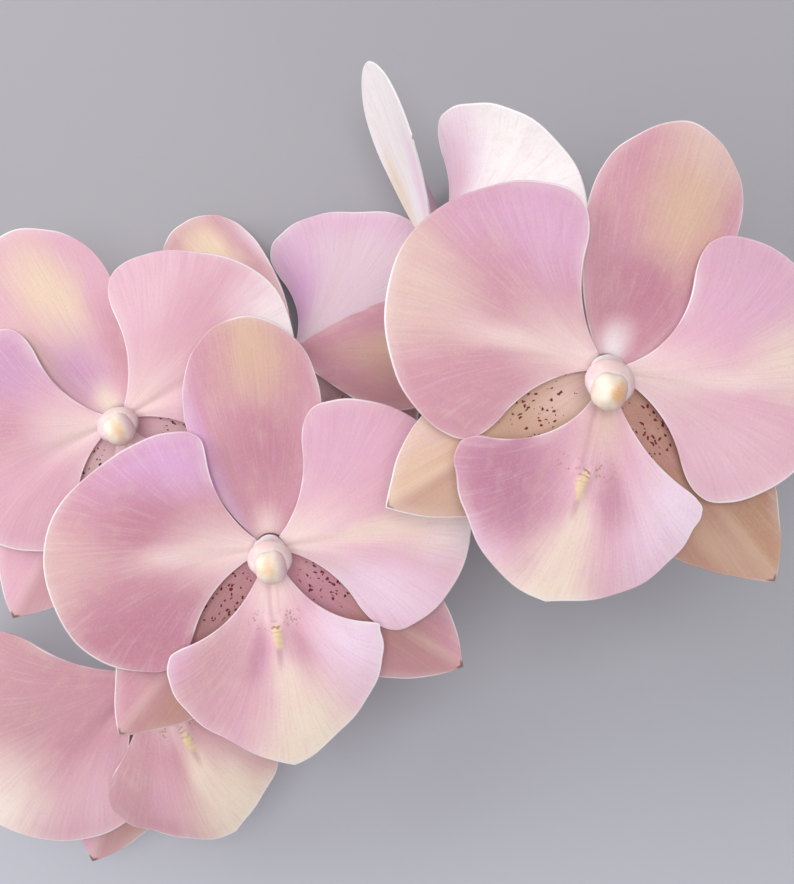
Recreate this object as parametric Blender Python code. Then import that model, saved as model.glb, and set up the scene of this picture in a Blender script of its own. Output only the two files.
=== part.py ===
"""A cut stem of a moth orchid that lies on a table: one long arching stem with six open blooms.

Lengths are in metres. +Z is up and the table is the plane z = 0. Each bloom has its own frame, held by an empty:
+X to its right as seen from the front, +Y towards its dorsal sepal and +Z out of its face.
"""

import math

import bmesh
import bpy
import numpy as np
from mathutils import Matrix, Vector

MM = 0.001

# Driving dimensions of a full-sized bloom, with the column's drop as a share of its length and its lean in radians
ROOT_RADIUS = 3.5 * MM
DORSAL_REACH = 52.7 * MM
LATERAL_REACH = 52 * MM
PETAL_REACH = 48 * MM
LIP_REACH = 47.3 * MM
BLADE_THICKNESS = 1.0 * MM
EDGE_THICKNESS = 0.7 * MM
COLUMN_LENGTH = 9.5 * MM
COLUMN_WIDTH = 7.6 * MM
COLUMN_DROP = 0.28
COLUMN_LEAN = 0.30
CAP_WIDTH = 7.6 * MM
CAP_HEIGHT = 8.2 * MM
CAP_DEPTH = 4.2 * MM
GAP = 0.3 * MM
SHARP_ANGLE = math.radians(40)

# The column's half width and half depth, foot to end at even steps, as shares of half its width. It flares into a
# hood behind the cap.
COLUMN_WIDE = (0.96, 0.92, 1.08, 1.30, 1.06)
COLUMN_DEEP = (0.76, 0.76, 0.90, 1.10, 0.96)

# Driving dimensions of the stem
CUT_RADIUS = 2.9 * MM
TIP_RADIUS = 1.1 * MM
PEDICEL_RADIUS = 1.6 * MM
RECEPTACLE_RADIUS = 3.1 * MM
RECEPTACLE_DEPTH = 6.5 * MM
RECEPTACLE_FRONT = 1.9 * MM
NODE_BRACT_LENGTH = 7 * MM
SHEATH_LENGTH = 17 * MM
STEM_NODES = 9
NODE_SWELL = 0.10

# Where the middle of the stem's footprint lies before the whole is moved onto the frame's origin
FOOTPRINT_MIDDLE = Vector((76.9, -6.5, 0.0)) * MM

# How softly a blade bends where it meets the table, and how much of its underside ends up flat on it
PRESS_SOFTNESS = 0.4 * MM
FLAT_BAND = 0.5 * MM

# How wide the round of a crease's ridge is, as a share of half the reach
RIDGE_WIDTH = 0.04

# Steps of the blades' grids: across from side to side, and outward from root to rim
SEPAL_RAYS = 9
PETAL_RAYS = 11
TEPAL_RINGS = 7
LIP_RAYS = 13
LIP_RINGS = 9

# A blade is a fan of rays from the bloom's axis. "rim" gives the rays' lengths as shares of the reach, at seven
# steps from side to side. "side" gives the side edges' angles from the blade's axis in degrees: low root, low rim,
# high root, high rim, and "settle" how soon they pass from the first to the second. The heights are shares of the
# reach: "lift" is a steady rise towards the viewer, "droop" a fall that grows with the square of the distance,
# "fold" a round fall of both sides, "crease" a straight one that leaves a ridge down the middle, and "wave" the
# ripples along the rim. "base" is the height of the root, and "pointed" says whether the rim comes to a point.
DORSAL = {
    "reach": DORSAL_REACH,
    "rim": (0.60, 0.74, 0.91, 1.0, 0.91, 0.74, 0.60),
    "side": (-50, -27, 50, 27),
    "settle": 0.7,
    "lift": 0.05,
    "droop": 0.09,
    "fold": 0.03,
    "crease": 0.0,
    "wave": 0.010,
    "waves": 3.0,
    "phase": 0.6,
    "base": -1.5 * MM,
    "pointed": False,
}
LATERAL = {
    "reach": LATERAL_REACH,
    "rim": (0.54, 0.66, 0.81, 1.0, 0.81, 0.66, 0.54),
    "side": (-46, -26, 46, 26),
    "settle": 0.5,
    "lift": 0.03,
    "droop": 0.08,
    "fold": 0.01,
    "crease": 0.06,
    "wave": 0.008,
    "waves": 3.0,
    "phase": 2.0,
    "base": -1.5 * MM,
    "pointed": True,
}
PETAL = {
    "reach": PETAL_REACH,
    "rim": (0.57, 0.72, 0.88, 1.0, 0.91, 0.77, 0.61),
    "side": (-17, -44, 44, 70),
    "settle": 1.15,
    "lift": 0.20,
    "droop": 0.20,
    "fold": 0.03,
    "crease": 0.0,
    "wave": 0.012,
    "waves": 4.0,
    "phase": 0.0,
    "base": 0.9 * MM,
    "pointed": False,
}
LIP = {
    "reach": LIP_REACH,
    "rim": (0.64, 0.77, 0.89, 1.0, 0.89, 0.77, 0.64),
    "side": (-28, -50, 28, 50),
    "settle": 1.6,
    "lift": 0.42,
    "droop": 0.42,
    "fold": 0.04,
    "crease": 0.0,
    "wave": 0.014,
    "waves": 5.0,
    "phase": 1.0,
    "base": 2.6 * MM,
    "pointed": True,
}

# The blooms, with lengths in millimetres. "tilts" turns a blade towards the viewer at its root and "turns" moves it
# round the bloom, both in degrees, and "changes" alters its shape. "column" is how far the column's end lies to the
# right and up, as shares of its length. "stem_x" is where the bloom's stalk leaves the stem, and "bends" are the
# points that it passes from there.
BLOOMS = (
    {
        "centre": (42.0, 14.4, 98.0),
        "facing": (0.0, 0.0, 1.0),
        "dorsal": (0.259, 0.966, 0.0),
        "size": 1.0,
        "turns": {"dorsal_sepal": -5.5, "left_sepal": 5, "right_sepal": 6},
        "changes": {
            "dorsal_sepal": {"side": (-50, -27, 58, 27)},
            "right_sepal": {"reach": 55 * MM},
            "right_petal": {"side": (-17, -42, 30, 69)},
            "lip": {"side": (-28, -49, 12, 50), "settle": 1.2},
        },
        "column": (0.0, -0.48),
        "stem_x": 56,
        "bends": ((46, 9, 76),),
    },
    {
        "centre": (-27.2, -22.7, 77.0),
        "facing": (0.0, 0.0, 1.0),
        "dorsal": (-0.122, 0.993, 0.0),
        "size": 0.95,
        "turns": {"left_sepal": 2, "right_sepal": 3, "left_petal": 3},
        "changes": {
            "dorsal_sepal": {"side": (-52, -28, 52, 27)},
            "left_petal": {"rim": (0.60, 0.76, 0.97, 1.0, 0.80, 0.66, 0.58), "reach": 50 * MM},
            "right_petal": {"rim": (0.60, 0.78, 0.93, 1.0, 0.91, 0.77, 0.61), "reach": 46 * MM},
            "left_sepal": {"reach": 55 * MM},
            "lip": {"rim": (0.62, 0.71, 0.84, 1.0, 0.91, 0.78, 0.63)},
        },
        "column": (0.09, -0.33),
        "stem_x": -8,
        "bends": ((-22, -18, 62),),
    },
    {
        "centre": (-62.8, 5.0, 58.0),
        "facing": (0.0, 0.0, 1.0),
        "dorsal": (-0.454, 0.891, 0.0),
        "size": 0.95,
        "turns": {"dorsal_sepal": 8, "left_sepal": -8},
        "changes": {
            "dorsal_sepal": {"side": (-50, -27, 54, 31)},
            "left_sepal": {"reach": 55 * MM},
        },
        "column": (0.09, -0.30),
        "stem_x": -66,
        "bends": ((-61, -7, 42),),
    },
    {
        "centre": (-57.8, -54.2, 38.0),
        "facing": (0.0, -0.12, 0.99),
        "dorsal": (-0.47, 0.88, 0.11),
        "size": 0.98,
        "turns": {"left_petal": 20, "left_sepal": 1},
        "tilts": {"right_sepal": -51},
        "changes": {
            "left_petal": {"side": (-10, -35, 44, 64), "reach": 56.9 * MM},
            "left_sepal": {"reach": 54 * MM},
            "lip": {
                "rim": (0.58, 0.70, 0.82, 1.0, 0.90, 0.78, 0.62),
                "side": (-28, -47, 42, 50),
                "settle": 1.2,
                "reach": 45.5 * MM,
            },
        },
        "stem_x": -50,
        "bends": ((-54, -42, 21),),
    },
    {
        "centre": (-26.2, 21.6, 24.6),
        "facing": (0.337, -0.37, -0.866),
        "dorsal": (-0.60, 0.63, -0.50),
        "size": 0.94,
        "tilts": {
            "dorsal_sepal": -4, "lip": 40, "left_petal": 6, "right_petal": 30, "left_sepal": 8, "right_sepal": 25,
        },
        "turns": {"lip": -8, "dorsal_sepal": -8, "left_petal": 3, "left_sepal": 2},
        "changes": {
            "left_petal": {"rim": (0.44, 0.54, 0.76, 0.98, 0.91, 0.77, 0.61), "reach": 50 * MM},
            "lip": {"reach": 40 * MM},
            "dorsal_sepal": {"side": (-55, -32, 39, 14), "reach": 54.5 * MM},
            "left_sepal": {"side": (-42, -28, 42, 36), "reach": 54 * MM},
        },
        "stem_x": -28,
        "bends": ((-28, 12, 46), (-28, -2, 48)),
    },
    {
        "centre": (9.5, 46.0, 38.6),
        "facing": (0.92, 0.30, -0.26),
        "dorsal": (-0.29, 0.95, 0.0),
        "size": 0.90,
        "tilts": {"left_petal": 39, "right_petal": 25, "left_sepal": 20, "right_sepal": 25, "lip": 38},
        "turns": {"right_sepal": 4, "left_petal": 5, "lip": 7},
        "changes": {
            "lip": {"side": (-28, -36, 28, 38)},
            "right_sepal": {"side": (-40, -18, 40, 18), "reach": 46 * MM, "base": -2.6 * MM},
        },
        "stem_x": 22,
        "bends": ((3, 36, 48), (10, 16, 56)),
    },
)

# Blade name, its shape, its place round the bloom in degrees from +X, its side and its steps
BLADES = (
    ("dorsal_sepal", DORSAL, 90, 1, SEPAL_RAYS, TEPAL_RINGS),
    ("left_sepal", LATERAL, 222, -1, SEPAL_RAYS, TEPAL_RINGS),
    ("right_sepal", LATERAL, 318, 1, SEPAL_RAYS, TEPAL_RINGS),
    ("left_petal", PETAL, 180, 1, PETAL_RAYS, TEPAL_RINGS),
    ("right_petal", PETAL, 0, -1, PETAL_RAYS, TEPAL_RINGS),
    ("lip", LIP, 270, 1, LIP_RAYS, LIP_RINGS),
)

# The stem's centre line in millimetres, from the cut end to the growing tip
STEM_LINE = (
    (262, -8, 3.2),
    (220, -6, 11),
    (170, -1, 31),
    (125, 6, 48),
    (88, 8, 58),
    (50, 1, 63),
    (22, -4, 60),
    (-5, -10, 53),
    (-28, -14, 43),
    (-50, -20, 32),
    (-72, -20, 27),
    (-92, -14, 26),
)
STEM_STEPS = 34
STALK_STEPS = 9
SHEATHS_X = (214, 138)


def clear_scene():
    for item in list(bpy.data.objects):
        bpy.data.objects.remove(item, do_unlink=True)


def principled(name, colour, roughness):
    material = bpy.data.materials.new(name)
    material.use_nodes = True
    shader = material.node_tree.nodes["Principled BSDF"]
    shader.inputs["Base Color"].default_value = (*colour, 1.0)
    shader.inputs["Roughness"].default_value = roughness
    shader.inputs["Metallic"].default_value = 0.0
    return material


def make_materials():
    return {
        "dorsal_sepal": principled("sepal_pink", (0.72, 0.50, 0.47), 0.6),
        "left_sepal": principled("left_sepal_pink", (0.66, 0.42, 0.40), 0.6),
        "right_sepal": principled("right_sepal_pink", (0.66, 0.42, 0.40), 0.6),
        "left_petal": principled("left_petal_pink", (0.76, 0.46, 0.58), 0.6),
        "right_petal": principled("right_petal_pink", (0.76, 0.46, 0.58), 0.6),
        "lip": principled("lip_pink", (0.74, 0.45, 0.54), 0.55),
        "column": principled("column_white", (0.90, 0.80, 0.80), 0.5),
        "anther_cap": principled("anther_cap_cream", (0.92, 0.85, 0.72), 0.45),
        "flower_stem": principled("stem_green", (0.24, 0.30, 0.11), 0.5),
    }


def eased(values, steps):
    """A smooth curve through evenly spaced values, read at steps from 0 to 1."""
    values = np.asarray(values, float)
    slopes = np.gradient(values, axis=0)
    place = np.clip(steps, 0, 1) * (len(values) - 1)
    first = np.minimum(place.astype(int), len(values) - 2)
    t = place - first
    if values.ndim > 1:
        t = t[:, None]
    start, end = values[first], values[first + 1]
    leave, arrive = slopes[first], slopes[first + 1]
    return (
        start * (2 * t**3 - 3 * t**2 + 1)
        + leave * (t**3 - 2 * t**2 + t)
        + end * (3 * t**2 - 2 * t**3)
        + arrive * (t**3 - t**2)
    )


def rim_lengths(shape, across):
    """The rays' lengths at places from -1 to 1 across the blade; a pointed rim is smooth only on either side."""
    rim = shape["rim"]
    if not shape["pointed"]:
        return shape["reach"] * eased(rim, (across + 1) / 2)
    middle = len(rim) // 2
    low = eased(rim[: middle + 1], across + 1)
    high = eased(rim[middle:], across)
    return shape["reach"] * np.where(across < 0, low, high)


def blade_grid(shape, rays, rings):
    """The middle surface of a blade that points along +Y and faces +Z, as rings x rays points."""
    across = np.linspace(-1, 1, rays)
    outward = np.linspace(0, 1, rings)[:, None]
    reach = shape["reach"]
    spread = (np.sin(across * math.pi / 2) + 1) / 2
    rim = rim_lengths(shape, across)
    radius = ROOT_RADIUS + outward * (rim - ROOT_RADIUS)
    low_root, low_rim, high_root, high_rim = (math.radians(a) for a in shape["side"])
    settle = outward ** shape["settle"]
    low = low_root + (low_rim - low_root) * settle
    high = high_root + (high_rim - high_root) * settle
    angle = low + (high - low) * spread
    x = radius * np.sin(angle)
    y = radius * np.cos(angle)
    out = (radius - ROOT_RADIUS) / reach
    height = shape["lift"] * out - shape["droop"] * out**2 - shape["fold"] * (2 * x / reach) ** 2
    height = height - shape["crease"] * (np.hypot(2 * x / reach, RIDGE_WIDTH) - RIDGE_WIDTH)
    height = height + shape["wave"] * out**3 * np.cos(shape["waves"] * angle + shape["phase"])
    return np.stack([x, y, height * reach], axis=-1)


def press_to_table(points, floor):
    """Bends points that would lie below the floor up onto it, with a soft start."""
    pressed = points.copy()
    depth = (points[..., 2] - floor) / PRESS_SOFTNESS
    pressed[..., 2] = floor + PRESS_SOFTNESS * np.logaddexp(0, depth)
    return pressed


def grid_normals(points):
    along = np.gradient(points, axis=0)
    across = np.gradient(points, axis=1)
    normals = np.cross(across, along)
    return normals / np.linalg.norm(normals, axis=-1, keepdims=True)


def transform(points, matrix):
    turned = points @ np.array(matrix.to_3x3()).T
    return turned + np.array(matrix.translation)


def closed_blade(front, back):
    """One closed mesh from the points of a blade's two faces, its quads split alike on both."""
    rings, rays = front.shape[:2]
    mesh = bmesh.new()
    faces = [[[mesh.verts.new(p) for p in row] for row in side.tolist()] for side in (front, back)]
    for side, flip in zip(faces, (False, True)):
        for i in range(rings - 1):
            for j in range(rays - 1):
                a, b = side[i][j], side[i][j + 1]
                c, d = side[i + 1][j + 1], side[i + 1][j]
                for corner in ((a, b, c), (a, c, d)):
                    mesh.faces.new(corner[::-1] if flip else corner)
    edge = [(0, j) for j in range(rays)]
    edge += [(i, rays - 1) for i in range(1, rings)]
    edge += [(rings - 1, j) for j in range(rays - 2, -1, -1)]
    edge += [(i, 0) for i in range(rings - 2, 0, -1)]
    for (i, j), (k, m) in zip(edge, edge[1:] + edge[:1]):
        mesh.faces.new((faces[0][i][j], faces[1][i][j], faces[1][k][m], faces[0][k][m]))
    bmesh.ops.recalc_face_normals(mesh, faces=mesh.faces[:])
    return mesh


def add_object(name, mesh, material, parent=None, place=None):
    data = bpy.data.meshes.new(name)
    mesh.to_mesh(data)
    mesh.free()
    data.materials.append(material)
    data.shade_smooth()
    data.set_sharp_from_angle(angle=SHARP_ANGLE)
    item = bpy.data.objects.new(name, data)
    bpy.context.scene.collection.objects.link(item)
    item.parent = parent
    if place is not None:
        item.matrix_local = place
    return item


def bloom_frame(bloom):
    """The bloom's place in the world, from where it faces and where its dorsal sepal points."""
    facing = Vector(bloom["facing"]).normalized()
    dorsal = Vector(bloom["dorsal"])
    dorsal = (dorsal - facing * dorsal.dot(facing)).normalized()
    turned = Matrix((dorsal.cross(facing), dorsal, facing)).transposed().to_4x4()
    return Matrix.Translation(Vector(bloom["centre"]) * MM - FOOTPRINT_MIDDLE) @ turned


def blade_frame(angle, tilt, base):
    """A blade's place in its bloom: turned round the axis, and tilted forward about its root."""
    root = Vector((0, ROOT_RADIUS, 0))
    hinge = Matrix.Translation(root) @ Matrix.Rotation(math.radians(tilt), 4, "X") @ Matrix.Translation(-root)
    turned = Matrix.Rotation(math.radians(angle - 90), 4, "Z")
    return turned @ Matrix.Translation((0, 0, base)) @ hinge


def add_blade(name, shape, side, rays, rings, parent, world, place, material, size):
    middle = blade_grid(shape, rays, rings) * np.array((side, 1, 1))
    scaled = Matrix.Diagonal((size, size, size, 1))
    to_world = world @ scaled @ place
    lying = press_to_table(transform(middle, to_world), BLADE_THICKNESS / 2)
    normals = grid_normals(lying) * side
    outward = np.linspace(0, 1, rings)[:, None] ** 3
    across = np.abs(np.linspace(-1, 1, rays)) ** 3
    thinning = np.maximum(outward, across)[..., None]
    half = (BLADE_THICKNESS + (EDGE_THICKNESS - BLADE_THICKNESS) * thinning) / 2
    faces = []
    for way in (-1, 1):
        points = lying + way * half * normals
        low = points[..., 2] < FLAT_BAND
        points[..., 2] = np.where(low, 0, points[..., 2])
        faces.append(transform(points, (world @ place_at_size(place, size)).inverted()))
    return add_object(name, closed_blade(*faces), material, parent, place_at_size(place, size))


def place_at_size(place, size):
    """The blade's place with its offset scaled, so that the object itself keeps a scale of one."""
    moved = place.copy()
    moved.translation = place.translation * size
    return moved


def loft(rings, material, name, parent=None, place=None):
    """One closed solid through rings of points, with its ends closed by a point or a flat face."""
    mesh = bmesh.new()
    loops = [[mesh.verts.new(p) for p in ring] for ring in rings]
    for low, high in zip(loops, loops[1:]):
        count = max(len(low), len(high))
        for k in range(count):
            corners = [low[k % len(low)], low[(k + 1) % len(low)]]
            corners += [high[(k + 1) % len(high)], high[k % len(high)]]
            unique = list(dict.fromkeys(corners))
            mesh.faces.new(unique)
    for loop in (loops[0], loops[-1]):
        if len(loop) > 1:
            mesh.faces.new(loop)
    bmesh.ops.recalc_face_normals(mesh, faces=mesh.faces[:])
    return add_object(name, mesh, material, parent, place)


def oval(centre, right, up, sides=10, turn=0.5):
    """The points of an oval ring: centre, and the two half axes as vectors."""
    angles = [2 * math.pi * (k + turn) / sides for k in range(sides)]
    return [Vector(centre) + Vector(right) * math.cos(a) + Vector(up) * math.sin(a) for a in angles]


def column_end(bloom):
    """How far the end of the bloom's column lies from its foot, to the right and up."""
    right, up = bloom.get("column", (0.0, -COLUMN_DROP))
    return Vector((right, up, 0)) * COLUMN_LENGTH


def add_column(name, parent, material, size, end):
    """The bloom's column: a short thick rod that leans down and flares into a hood."""
    half = COLUMN_WIDTH / 2
    start = RECEPTACLE_FRONT + GAP
    rings = []
    for step, (wide, deep) in enumerate(zip(COLUMN_WIDE, COLUMN_DEEP)):
        share = step / (len(COLUMN_WIDE) - 1)
        lean = COLUMN_LEAN * share**1.5
        centre = end * share**1.6 + Vector((0, 0, start + COLUMN_LENGTH * share))
        up = (0, half * deep * math.cos(lean), half * deep * math.sin(lean))
        rings.append(oval(centre * size, Vector((half * wide, 0, 0)) * size, Vector(up) * size))
    return loft(rings, material, name, parent)


def add_anther_cap(name, parent, material, size, end):
    """The rounded cap at the column's end, seated a hair in front of it."""
    forward = Vector((0, -math.sin(COLUMN_LEAN), math.cos(COLUMN_LEAN)))
    seat = end + Vector((0, 0, RECEPTACLE_FRONT + GAP + COLUMN_LENGTH)) + forward * GAP
    right = Vector((CAP_WIDTH / 2, 0, 0))
    up = Vector((0, math.cos(COLUMN_LEAN), math.sin(COLUMN_LEAN))) * CAP_HEIGHT / 2
    rings = []
    for share in (0.0, 0.30, 0.58, 0.80, 0.95):
        wide = math.sqrt(1 - share**2) * (0.94 + 0.2 * share * (1 - share))
        centre = seat + forward * CAP_DEPTH * share
        rings.append(oval(centre * size, right * wide * size, up * wide * size))
    rings.append([(seat + forward * CAP_DEPTH) * size])
    return loft(rings, material, name, parent)


def tube(points, radii, sides=8):
    """The rings of a tube along a line of points."""
    points = [Vector(p) for p in points]
    right = Vector((0, 1, 0.3)).normalized()
    rings = []
    for k, point in enumerate(points):
        along = (points[min(k + 1, len(points) - 1)] - points[max(k - 1, 0)]).normalized()
        right = (right - along * right.dot(along)).normalized()
        rings.append(oval(point, right * radii[k], along.cross(right) * radii[k], sides))
    return rings


def stem_points():
    steps = np.linspace(0, 1, STEM_STEPS)
    line = eased(np.array(STEM_LINE, float) * MM, steps)
    swell = 1 + NODE_SWELL * np.cos(steps * math.pi * STEM_NODES) ** 8
    radii = (CUT_RADIUS + (TIP_RADIUS - CUT_RADIUS) * steps**1.5) * swell
    return line - np.array(FOOTPRINT_MIDDLE), radii


def receptacle(world, size):
    """The knob at the end of a stalk that carries the sepals, petals, lip and column."""
    profile = (
        (RECEPTACLE_FRONT, 0.84),
        (RECEPTACLE_FRONT - 0.6 * MM, 1.0),
        (-2.4 * MM, 0.98),
        (-RECEPTACLE_DEPTH * 0.55, 0.72),
        (-RECEPTACLE_DEPTH, 0.44),
    )
    rings = []
    for height, share in profile:
        radius = RECEPTACLE_RADIUS * share * size
        ring = oval((0, 0, height * size), (radius, 0, 0), (0, radius, 0), 10)
        rings.append([world @ p for p in ring])
    return rings


def stalk(bloom, world, start):
    """A bloom's stalk, from inside the stem to inside its receptacle."""
    size = bloom["size"]
    back = world @ Vector((0, 0, -RECEPTACLE_DEPTH * 0.7 * size))
    behind = world @ Vector((0, 0, -RECEPTACLE_DEPTH * 1.5 * size))
    bends = [Vector(b) * MM - FOOTPRINT_MIDDLE for b in reversed(bloom["bends"])]
    line = eased(np.array([tuple(p) for p in [start, *bends, behind, back]]), np.linspace(0, 1, STALK_STEPS))
    radii = PEDICEL_RADIUS * (1.05 + 0.25 * np.linspace(-1, 1, STALK_STEPS) ** 2)
    return tube(line, radii, 6)


def bract(point, along, out, length, width):
    """A small pointed scale that hugs the stem: a slim cone whose foot is sunk in it."""
    along, out = Vector(along).normalized(), Vector(out).normalized()
    side = along.cross(out)
    foot = Vector(point) - along * length * 0.15
    shoulder = Vector(point) + along * length * 0.35 + out * width * 0.35
    rings = [
        oval(foot, side * width, out * width, 6),
        oval(shoulder, side * width * 0.95, out * width * 0.9, 6),
        [Vector(point) + along * length + out * width * 1.5],
    ]
    return rings


def join_by_union(rings_list, name, material):
    """Each set of rings as an object, then one Boolean union of them all."""
    parts = [loft(rings, material, f"{name}_{k}") for k, rings in enumerate(rings_list)]
    extra = bpy.data.collections.new("to_join")
    bpy.context.scene.collection.children.link(extra)
    for item in parts[1:]:
        bpy.context.scene.collection.objects.unlink(item)
        extra.objects.link(item)
    union = parts[0].modifiers.new("Union", "BOOLEAN")
    union.operation = "UNION"
    union.operand_type = "COLLECTION"
    union.collection = extra
    union.solver = "EXACT"
    bpy.context.view_layer.update()
    whole = parts[0].evaluated_get(bpy.context.evaluated_depsgraph_get())
    data = bpy.data.meshes.new_from_object(whole)
    data.name = name
    for item in parts:
        bpy.data.objects.remove(item, do_unlink=True)
    bpy.data.collections.remove(extra)
    joined = bpy.data.objects.new(name, data)
    bpy.context.scene.collection.objects.link(joined)
    return joined


def nearest_step(line, x):
    """The step of the stem's line that lies nearest to x, given in millimetres."""
    return int(np.argmin(np.abs(line[:, 0] + FOOTPRINT_MIDDLE.x - x * MM)))


def add_stem(frames, materials):
    line, radii = stem_points()
    pieces = [tube(line, radii)]
    for bloom, world in zip(BLOOMS, frames):
        step = nearest_step(line, bloom["stem_x"])
        start = Vector(line[step])
        pieces.append(stalk(bloom, world, start))
        pieces.append(receptacle(world, bloom["size"]))
        along = line[step + 1] - line[step - 1]
        leaving = Vector(bloom["bends"][-1]) * MM - FOOTPRINT_MIDDLE - start
        pieces.append(bract(start, along, leaving, NODE_BRACT_LENGTH, radii[step] * 0.9))
    for x in SHEATHS_X:
        step = nearest_step(line, x)
        along = line[step + 1] - line[step - 1]
        pieces.append(bract(line[step], along, (0, 0, 1), SHEATH_LENGTH, radii[step] * 0.95))
    return join_by_union(pieces, "flower_stem", materials["flower_stem"])


def add_bloom(number, bloom, world, materials):
    name = f"bloom_{number}"
    holder = bpy.data.objects.new(name, None)
    bpy.context.scene.collection.objects.link(holder)
    holder.matrix_world = world
    tilts = bloom.get("tilts", {})
    turns = bloom.get("turns", {})
    changes = bloom.get("changes", {})
    for kind, shape, angle, side, rays, rings in BLADES:
        own = {**shape, **changes.get(kind, {})}
        place = blade_frame(angle + turns.get(kind, 0), tilts.get(kind, 0), own["base"])
        add_blade(
            f"{name}_{kind}", own, side, rays, rings, holder, world, place, materials[kind], bloom["size"]
        )
    end = column_end(bloom)
    add_column(f"{name}_column", holder, materials["column"], bloom["size"], end)
    add_anther_cap(f"{name}_anther_cap", holder, materials["anther_cap"], bloom["size"], end)


def main():
    clear_scene()
    materials = make_materials()
    frames = [bloom_frame(bloom) for bloom in BLOOMS]
    for number, (bloom, world) in enumerate(zip(BLOOMS, frames), 1):
        add_bloom(number, bloom, world, materials)
    add_stem(frames, materials)


if __name__ == "__main__":
    main()
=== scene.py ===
"""The looks of a cut moth orchid stem that lies on a pale surface, seen from straight above."""

import math

import bpy
import numpy as np
from mathutils import Matrix, Vector


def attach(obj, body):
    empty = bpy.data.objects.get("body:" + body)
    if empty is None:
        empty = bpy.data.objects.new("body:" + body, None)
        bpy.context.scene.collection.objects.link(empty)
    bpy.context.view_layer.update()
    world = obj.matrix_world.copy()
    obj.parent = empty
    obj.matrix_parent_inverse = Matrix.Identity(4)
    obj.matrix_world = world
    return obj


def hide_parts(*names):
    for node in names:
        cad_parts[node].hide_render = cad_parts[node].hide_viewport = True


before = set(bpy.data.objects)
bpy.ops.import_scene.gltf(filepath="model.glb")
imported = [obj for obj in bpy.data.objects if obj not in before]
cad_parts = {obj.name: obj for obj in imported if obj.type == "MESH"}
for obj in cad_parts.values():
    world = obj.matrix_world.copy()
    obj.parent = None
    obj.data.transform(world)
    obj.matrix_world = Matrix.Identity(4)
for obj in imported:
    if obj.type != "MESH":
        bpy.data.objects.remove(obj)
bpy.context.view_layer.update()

MM = 0.001

# Sizes of a full-sized bloom and of the stalk
ROOT_RADIUS = 3.5 * MM
COLUMN_LENGTH = 9.5 * MM
COLUMN_WIDTH = 7.6 * MM
COLUMN_DROP = 0.28
COLUMN_LEAN = 0.3
COLUMN_WIDE = (0.96, 0.92, 1.08, 1.3, 1.06)
COLUMN_DEEP = (0.76, 0.76, 0.9, 1.1, 0.96)
CAP_WIDTH = 7.6 * MM
CAP_HEIGHT = 8.2 * MM
CAP_DEPTH = 4.2 * MM
GAP = 0.3 * MM
CUT_RADIUS = 2.9 * MM
TIP_RADIUS = 1.1 * MM
STEM_NODES = 9
NODE_SWELL = 0.1
PEDICEL_RADIUS = 1.6 * MM
KNOB_RADIUS = 3.1 * MM
KNOB_DEPTH = 6.5 * MM
KNOB_FRONT = 1.9 * MM
BRACT_LENGTH = 7 * MM
SHEATH_LENGTH = 17 * MM
RIDGE_WIDTH = 0.04

# The footprint's middle, which lies at the frame's origin, and how the table flattens a blade
FOOTPRINT = Vector((76.9, -6.5, 0)) * MM
PRESS_SOFTNESS = 0.4 * MM
PRESS_FLOOR = 0.5 * MM

# The knob at the end of each bloom stalk: heights and shares of its radius
KNOB = (
    (KNOB_FRONT, 0.8), (KNOB_FRONT - 0.3 * MM, 0.93), (KNOB_FRONT - 0.6 * MM, 1),
    (-2.4 * MM, 0.98), (-KNOB_DEPTH * 0.55, 0.72), (-KNOB_DEPTH, 0.44),
)
# How many front rings of each knob are white, partly as painted light for the shade under its
# column
KNOB_FRONT_RINGS = 3

# The petal tissue is drawn thinner than its solids, about their middle
TISSUE = 0.5 * MM
TISSUE_EDGE = 0.42 * MM
EDGE_BULGE = 0.45
THINNING_WIDTH = 6 * MM

# The fine relief of the blades
RIPPLE = 0.3 * MM
SWELL = 0.45 * MM
SEPAL_SHARE = 0.15
PETAL_GROOVE = 0.6 * MM
CALLUS_HEIGHT = 0.8 * MM
CALLUS_HORNS = 0.5 * MM
LIP_CHANNEL = 0.25 * MM

# How much of a piece each of its maps spans
PLAN_SPAN = 100 * MM
EDGE_SPAN = 10 * MM
TURNED_SPAN = 20 * MM

# Counts along and around each kind of skin
STEM_RINGS, STEM_SIDES = 200, 24
STALK_RINGS, STALK_SIDES = 50, 16
BRACT_RINGS, BRACT_SIDES = 14, 18
COLUMN_RINGS, COLUMN_SIDES = 24, 40
CAP_RINGS, CAP_SIDES = 22, 44
KNOB_SIDES = 24

# What the stem's map says each of its skins is
MAIN_STALK, SCALE, BLOOM_STALK = 0, 0.5, 1

# Steps of a blade's grid, how its rings crowd near the rim, and how far its corners are rounded
BLADE_RAYS, BLADE_RINGS = 71, 53
CROWDING = 1.35
ROUNDING = {"lip": (0.13, 0.07), "left_petal": (0.32, 0.18), "right_petal": (0.32, 0.18)}
SEPAL_ROUNDING = (0.5, 0.3)

# How far a rim wanders in and out, with the rims that differ by name
UNEVEN_RIM = 0.3 * MM
UNEVEN_LIP = 0.7 * MM
SEED_STEP = 1.37
RUFFLED = {
    "bloom_5_left_petal": 0.75 * MM, "bloom_6_left_petal": 0.6 * MM, "bloom_4_lip": 0.95 * MM,
    "bloom_6_dorsal_sepal": 0,
}

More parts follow.
